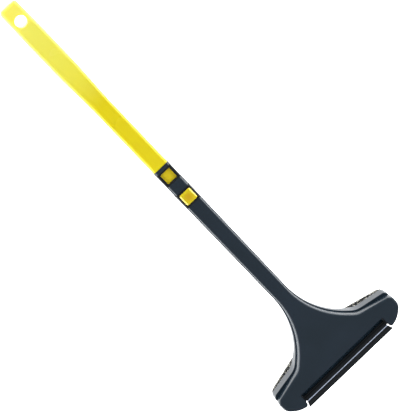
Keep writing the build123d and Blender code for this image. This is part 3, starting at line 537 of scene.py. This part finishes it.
def slate_abs():
    """Slate ABS, glossy enough to mirror the floor at its edges; its grain is drawn coarse to show."""
    made, tree, surface, place = new_material("slate_abs_moulded")
    broad = add(tree, "ShaderNodeTexNoise", {
        "Vector": place, "Scale": 1 / SLATE_CLOUD, "Detail": 2.0,
    }).outputs[0]
    fine = add(tree, "ShaderNodeTexNoise", {
        "Vector": place, "Scale": 1 / SLATE_GRAIN, "Detail": 2.0,
    }).outputs[0]
    colour = add(tree, "ShaderNodeMix", {
        0: broad, 6: linear(SLATE_DARK), 7: linear(SLATE_LIGHT),
    }, data_type="RGBA").outputs[2]
    rough = add(tree, "ShaderNodeMapRange", {
        "Value": broad, "From Min": 0.35, "From Max": 0.65, "To Min": 0.2, "To Max": 0.27,
    }).outputs[0]
    grain = add(tree, "ShaderNodeBump", {
        "Height": fine, "Distance": SLATE_GRAIN_DEPTH, "Strength": 0.25,
    }).outputs[0]
    fill(tree, surface, {"Base Color": colour, "Roughness": rough, "IOR": 1.53, "Normal": grain})
    return made


def black_abs():
    """Polished black ABS of the two frames: nearly black, with small sharp highlights."""
    made, tree, surface, place = new_material("black_abs_polished")
    broad = add(tree, "ShaderNodeTexNoise", {
        "Vector": place, "Scale": 1 / FRAME_CLOUD, "Detail": 2.0,
    }).outputs[0]
    colour = add(tree, "ShaderNodeMix", {
        0: broad, 6: linear(FRAME_DARK), 7: linear(FRAME_LIGHT),
    }, data_type="RGBA").outputs[2]
    rough = add(tree, "ShaderNodeMapRange", {
        "Value": broad, "From Min": NOISE_LOW, "From Max": NOISE_HIGH, "To Min": 0.2, "To Max": 0.3,
    }).outputs[0]
    fill(tree, surface, {"Base Color": colour, "Roughness": rough, "IOR": 1.53})
    return made


def yellow_abs():
    """Glossy yellow ABS, painted paler towards the hanging end as a painted sheen; its grain is drawn
    coarse to show.
    """
    made, tree, surface, place = new_material("yellow_abs_moulded")
    y = add(tree, "ShaderNodeSeparateXYZ", {0: place}).outputs["Y"]
    broad = add(tree, "ShaderNodeTexNoise", {
        "Vector": place, "Scale": 1 / YELLOW_CLOUD, "Detail": 2.0,
    }).outputs[0]
    fine = add(tree, "ShaderNodeTexNoise", {
        "Vector": place, "Scale": 1 / YELLOW_GRAIN, "Detail": 2.0,
    }).outputs[0]
    wander = add(tree, "ShaderNodeMath", {0: broad, 1: YELLOW_WANDER}, operation="MULTIPLY").outputs[0]
    along = add(tree, "ShaderNodeMath", {0: y, 1: wander}, operation="ADD").outputs[0]
    # Painted sheen: the yellow turns paler along Y towards the hanging end
    near = add(tree, "ShaderNodeMapRange", {
        "Value": along, "From Min": YELLOW_SHEEN_START[0], "From Max": YELLOW_SHEEN_START[1],
        "To Min": 0.0, "To Max": 1.0,
    }).outputs[0]
    far = add(tree, "ShaderNodeMapRange", {
        "Value": along, "From Min": YELLOW_SHEEN_SPAN[0], "From Max": YELLOW_SHEEN_SPAN[1],
        "To Min": 0.0, "To Max": 1.0,
    }).outputs[0]
    colour = add(tree, "ShaderNodeMix", {
        0: near, 6: linear(YELLOW_NEAR), 7: linear(YELLOW_HALF_SHEEN),
    }, data_type="RGBA").outputs[2]
    colour = add(tree, "ShaderNodeMix", {
        0: far, 6: colour, 7: linear(YELLOW_FULL_SHEEN),
    }, data_type="RGBA").outputs[2]
    rough = add(tree, "ShaderNodeMapRange", {
        "Value": broad, "From Min": NOISE_LOW, "From Max": NOISE_HIGH, "To Min": 0.22, "To Max": 0.32,
    }).outputs[0]
    grain = add(tree, "ShaderNodeBump", {
        "Height": fine, "Distance": YELLOW_GRAIN_DEPTH, "Strength": 0.25,
    }).outputs[0]
    fill(tree, surface, {
        "Base Color": colour, "Roughness": rough, "IOR": 1.53, "Normal": grain,
        "Subsurface Weight": 0.5, "Subsurface Radius": YELLOW_SCATTER,
        "Subsurface Scale": YELLOW_SCATTER_DEPTH,
    })
    return made


def stem_abs():
    """Yellow ABS of the stem that the window shows, painted brighter as painted light against the shade
    of the window's recess.
    """
    made, tree, surface, place = new_material("stem_yellow_abs_painted_light")
    broad = add(tree, "ShaderNodeTexNoise", {
        "Vector": place, "Scale": 1 / STEM_CLOUD, "Detail": 2.0,
    }).outputs[0]
    rough = add(tree, "ShaderNodeMapRange", {
        "Value": broad, "From Min": NOISE_LOW, "From Max": NOISE_HIGH, "To Min": 0.28, "To Max": 0.38,
    }).outputs[0]
    fill(tree, surface, {"Base Color": linear(STEM_YELLOW), "Roughness": rough, "IOR": 1.53})
    return made


def button_abs():
    """Yellow ABS button, deeper orange in the middle and paler towards its edge, a painted highlight on
    its bevels.
    """
    made, tree, surface, place = new_material("yellow_abs_painted_edge_highlight")
    low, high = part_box("release_button")
    middle = (low + high) / 2
    shifted = add(tree, "ShaderNodeMapping", {"Vector": place, "Location": -middle}).outputs[0]
    far = add(tree, "ShaderNodeVectorMath", {0: shifted}, operation="LENGTH").outputs["Value"]
    # Painted highlight: paler towards the button's beveled edge
    painted_highlight = add(tree, "ShaderNodeMapRange", {
        "Value": far, "From Min": BUTTON_HIGHLIGHT_RING[0], "From Max": BUTTON_HIGHLIGHT_RING[1],
        "To Min": 0.0, "To Max": 1.0,
    }).outputs[0]
    colour = add(tree, "ShaderNodeMix", {
        0: painted_highlight, 6: linear(BUTTON_CENTRE), 7: linear(BUTTON_EDGE_HIGHLIGHT),
    }, data_type="RGBA").outputs[2]
    fill(tree, surface, {"Base Color": colour, "Roughness": 0.28, "IOR": 1.53})
    return made


def blade_rubber():
    """Natural rubber of the blade: satin black, with a faint bloom."""
    made, tree, surface, place = new_material("black_rubber_moulded")
    bloom = add(tree, "ShaderNodeTexNoise", {
        "Vector": place, "Scale": 1 / BLOOM_PATCH, "Detail": 4.0,
    }).outputs[0]
    colour = add(tree, "ShaderNodeMix", {
        0: bloom, 6: linear(RUBBER_DARK), 7: linear(RUBBER_BLOOM),
    }, data_type="RGBA").outputs[2]
    fill(tree, surface, {"Base Color": colour, "Roughness": 0.5, "IOR": 1.52, "Specular IOR Level": 0.3})
    return made


def rail_pvc():
    """Black extruded PVC rail with fine drawn lines, and a painted highlight of pale grey along its lip.
    """
    made, tree, surface, place = new_material("black_pvc_extruded")
    drawn = add(tree, "ShaderNodeMapping", {
        "Vector": place, "Scale": (1 / DRAWN_LENGTH, 1 / DRAWN_WIDTH, 1 / DRAWN_WIDTH),
    }).outputs[0]
    lines = add(tree, "ShaderNodeTexNoise", {"Vector": drawn, "Scale": 1.0, "Detail": 2.0}).outputs[0]
    colour = add(tree, "ShaderNodeMix", {
        0: lines, 6: linear(RAIL_DARK), 7: linear(RAIL_LIGHT),
    }, data_type="RGBA").outputs[2]
    from_lip = add(tree, "ShaderNodeVectorMath", {
        0: place, 1: RAIL_LIP_PLACE,
    }, operation="SUBTRACT").outputs[0]
    along = add(tree, "ShaderNodeVectorMath", {
        0: from_lip, 1: BLADE_WAY,
    }, operation="DOT_PRODUCT").outputs["Value"]
    # Painted highlight along the rounded lip
    painted_highlight = add(tree, "ShaderNodeMapRange", {
        "Value": along, "From Min": -LIP_WIDTH, "From Max": -LIP_EDGE_SHARE * LIP_WIDTH,
        "To Min": 0.0, "To Max": 1.0,
    }).outputs[0]
    colour = add(tree, "ShaderNodeMix", {
        0: painted_highlight, 6: colour, 7: linear(LIP_HIGHLIGHT_GREY),
    }, data_type="RGBA").outputs[2]
    rough = add(tree, "ShaderNodeMapRange", {
        "Value": lines, "From Min": NOISE_LOW, "From Max": NOISE_HIGH, "To Min": 0.32, "To Max": 0.45,
    }).outputs[0]
    grain = add(tree, "ShaderNodeBump", {
        "Height": lines, "Distance": DRAWN_DEPTH, "Strength": 0.4,
    }).outputs[0]
    fill(tree, surface, {
        "Base Color": colour, "Roughness": rough, "IOR": 1.53, "Specular IOR Level": 0.3, "Normal": grain,
    })
    return made


def zinc_steel():
    """Zinc-plated steel of the screws, pins, latch plate and springs, its spangle drawn coarse."""
    made, tree, surface, place = new_material("zinc_plated_steel")
    spangle = add(tree, "ShaderNodeTexNoise", {
        "Vector": place, "Scale": 1 / SPANGLE, "Detail": 3.0,
    }).outputs[0]
    colour = add(tree, "ShaderNodeMix", {
        0: spangle, 6: linear(ZINC_DARK), 7: linear(ZINC_LIGHT),
    }, data_type="RGBA").outputs[2]
    rough = add(tree, "ShaderNodeMapRange", {
        "Value": spangle, "From Min": NOISE_LOW, "From Max": NOISE_HIGH, "To Min": 0.3, "To Max": 0.45,
    }).outputs[0]
    fill(tree, surface, {"Base Color": colour, "Metallic": 1.0, "Roughness": rough})
    return made


def pad_polypropylene():
    """Black polypropylene of the plate behind the foam: even and dull."""
    made, tree, surface, place = new_material("black_polypropylene")
    broad = add(tree, "ShaderNodeTexNoise", {
        "Vector": place, "Scale": 1 / PLATE_CLOUD, "Detail": 3.0,
    }).outputs[0]
    colour = add(tree, "ShaderNodeMix", {
        0: broad, 6: linear(PLATE_DARK), 7: linear(PLATE_LIGHT),
    }, data_type="RGBA").outputs[2]
    fill(tree, surface, {"Base Color": colour, "Roughness": 0.5, "IOR": 1.49})
    return made


def pad_foam():
    """Pale open-cell polyurethane foam, its pores darkened with painted shade; pores drawn a little
    coarse so that they show.
    """
    made, tree, surface, place = new_material("pale_polyurethane_foam")
    pores = add(tree, "ShaderNodeTexVoronoi", {"Vector": place, "Scale": 1 / FOAM_PORE}).outputs[0]
    broad = add(tree, "ShaderNodeTexNoise", {
        "Vector": place, "Scale": 1 / FOAM_CLOUD, "Detail": 3.0,
    }).outputs[0]
    colour = add(tree, "ShaderNodeMix", {
        0: broad, 6: linear(FOAM_DARK), 7: linear(FOAM_LIGHT),
    }, data_type="RGBA").outputs[2]
    shade = add(tree, "ShaderNodeMapRange", {
        "Value": pores, "From Min": 0.05, "From Max": 0.5, "To Min": 0.45, "To Max": 0.0,
    }).outputs[0]
    colour = add(tree, "ShaderNodeMix", {
        0: shade, 6: colour, 7: linear(FOAM_PORE_SHADE),
    }, data_type="RGBA").outputs[2]
    pitted = add(tree, "ShaderNodeBump", {
        "Height": pores, "Distance": PORE_DEPTH, "Strength": 0.6,
    }).outputs[0]
    fill(tree, surface, {"Base Color": colour, "Roughness": 0.95, "Normal": pitted})
    return made


def black_cord():
    """Black braided polyester of the drawcord: dull, ridged across by its braid."""
    made, tree, surface, place = new_material("black_polyester_braid")
    braid = add(tree, "ShaderNodeTexWave", {
        "Vector": place, "Scale": WAVE_LENGTH / BRAID_PITCH, "Distortion": 1.0,
    }).outputs[1]
    colour = add(tree, "ShaderNodeMix", {
        0: braid, 6: linear(CORD_DARK), 7: linear(CORD_LIGHT),
    }, data_type="RGBA").outputs[2]
    ridged = add(tree, "ShaderNodeBump", {
        "Height": braid, "Distance": YARN_DEPTH, "Strength": 0.5,
    }).outputs[0]
    fill(tree, surface, {"Base Color": colour, "Roughness": 0.75, "Normal": ridged})
    return made


def net_yarn():
    """Charcoal polyester yarn of the net: dull, striped by its twist."""
    made, tree, surface, place = new_material("charcoal_polyester_yarn")
    twist = add(tree, "ShaderNodeTexWave", {
        "Vector": place, "Scale": WAVE_LENGTH / TWIST_PITCH, "Distortion": 2.0,
    }).outputs[1]
    colour = add(tree, "ShaderNodeMix", {
        0: twist, 6: linear(YARN_DARK), 7: linear(YARN_LIGHT),
    }, data_type="RGBA").outputs[2]
    ridged = add(tree, "ShaderNodeBump", {
        "Height": twist, "Distance": YARN_DEPTH, "Strength": 0.5,
    }).outputs[0]
    fill(tree, surface, {"Base Color": colour, "Roughness": 0.8, "Normal": ridged})
    return made


# Making

slate = slate_abs()
black = black_abs()
yellow = yellow_abs()
steel = zinc_steel()
for node in ("front_shell", "rear_shell"):
    dress(node, slate)
for node in ("window_frame", "button_frame"):
    dress(node, black)
for node in ("grip_front", "grip_rear"):
    dress(node, yellow)
dress("stem", stem_abs())
for node in ("neck_screws", "head_screws", "rail_screws", "grip_screws", "stem_pins",
             "latch_plate", "catch_spring", "catch_rivets", "button_springs"):
    dress(node, steel)
dress("release_button", button_abs())
dress("squeegee_blade", blade_rubber())
dress("blade_rail", rail_pvc())
dress("pad_plate", pad_polypropylene())

foam = foam_pad(pad_foam())
cover = scrub_net(foam, net_yarn())
cord = drawcord(black_cord())

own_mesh(NODES["button_springs"])
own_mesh(NODES["catch_spring"])


# Floor, light and camera

def floor():
    """Paper lit from behind, so that it stays white round the tool."""
    deselect()
    bpy.ops.mesh.primitive_plane_add(size=2 * FLOOR_HALF, location=(0, 0, 0))
    plane = bpy.context.view_layer.objects.active
    plane.name = "studio_floor"
    made, tree, surface, place = new_material("white_paper_sweep")
    tone = add(tree, "ShaderNodeTexNoise", {
        "Vector": place, "Scale": 1 / PAPER_CLOUD, "Detail": 2.0,
    }).outputs[0]
    colour = add(tree, "ShaderNodeMix", {
        0: tone, 6: linear(PAPER_DARK), 7: linear(PAPER_LIGHT),
    }, data_type="RGBA").outputs[2]
    fill(tree, surface, {
        "Base Color": colour, "Roughness": 0.9,
        "Emission Color": colour, "Emission Strength": FLOOR_GLOW,
    })
    plane.data.materials.append(made)


def lights():
    """A studio tent: strip lights low along both sides, dim overhead and at both ends."""
    world = bpy.data.worlds.new("studio_tent")
    world.use_nodes = True
    tree = world.node_tree
    place = add(tree, "ShaderNodeTexCoord", {}).outputs["Generated"]
    parts = add(tree, "ShaderNodeSeparateXYZ", {0: place}).outputs
    across = add(tree, "ShaderNodeMath", {0: parts["X"]}, operation="ABSOLUTE").outputs[0]
    strip = add(tree, "ShaderNodeMapRange", {
        "Value": parts["Z"], "From Min": STRIP_HEIGHTS[0], "From Max": STRIP_HEIGHTS[1],
        "To Min": SIDE_GLOW, "To Max": SHOULDER_GLOW,
    }, interpolation_type="SMOOTHSTEP").outputs[0]
    side = add(tree, "ShaderNodeMapRange", {
        "Value": across, "From Min": STRIP_SIDES[0], "From Max": STRIP_SIDES[1],
        "To Min": 0.0, "To Max": 1.0,
    }, interpolation_type="SMOOTHSTEP").outputs[0]
    level = add(tree, "ShaderNodeMath", {
        0: strip, 1: side, 2: TENT_GLOW,
    }, operation="MULTIPLY_ADD").outputs[0]
    fill(tree, tree.nodes["Background"], {"Color": TENT_COLOUR, "Strength": level})
    bpy.context.scene.world = world
    bpy.context.scene.view_settings.view_transform = "Standard"


def camera():
    """The photograph's view: from above, leaning towards the handle's end, and rolled."""
    back = Vector((0, math.sin(LEAN), math.cos(LEAN)))
    across = Vector((1, 0, 0))
    along = Vector((0, math.cos(LEAN), -math.sin(LEAN)))
    right = across * math.cos(ROLL) - along * math.sin(ROLL)
    up = across * math.sin(ROLL) + along * math.cos(ROLL)
    data = bpy.data.cameras.new("camera")
    data.sensor_width = SENSOR
    data.lens = SENSOR * FOCAL_PIXELS / FRAME_HEIGHT
    eye = bpy.data.objects.new("camera", data)
    bpy.context.scene.collection.objects.link(eye)
    turn = np.array([right, up, back]).T
    eye.matrix_world = Matrix.Translation(AIM + back * DISTANCE) @ Matrix(turn.tolist()).to_4x4()
    bpy.context.scene.camera = eye


floor()
lights()
camera()
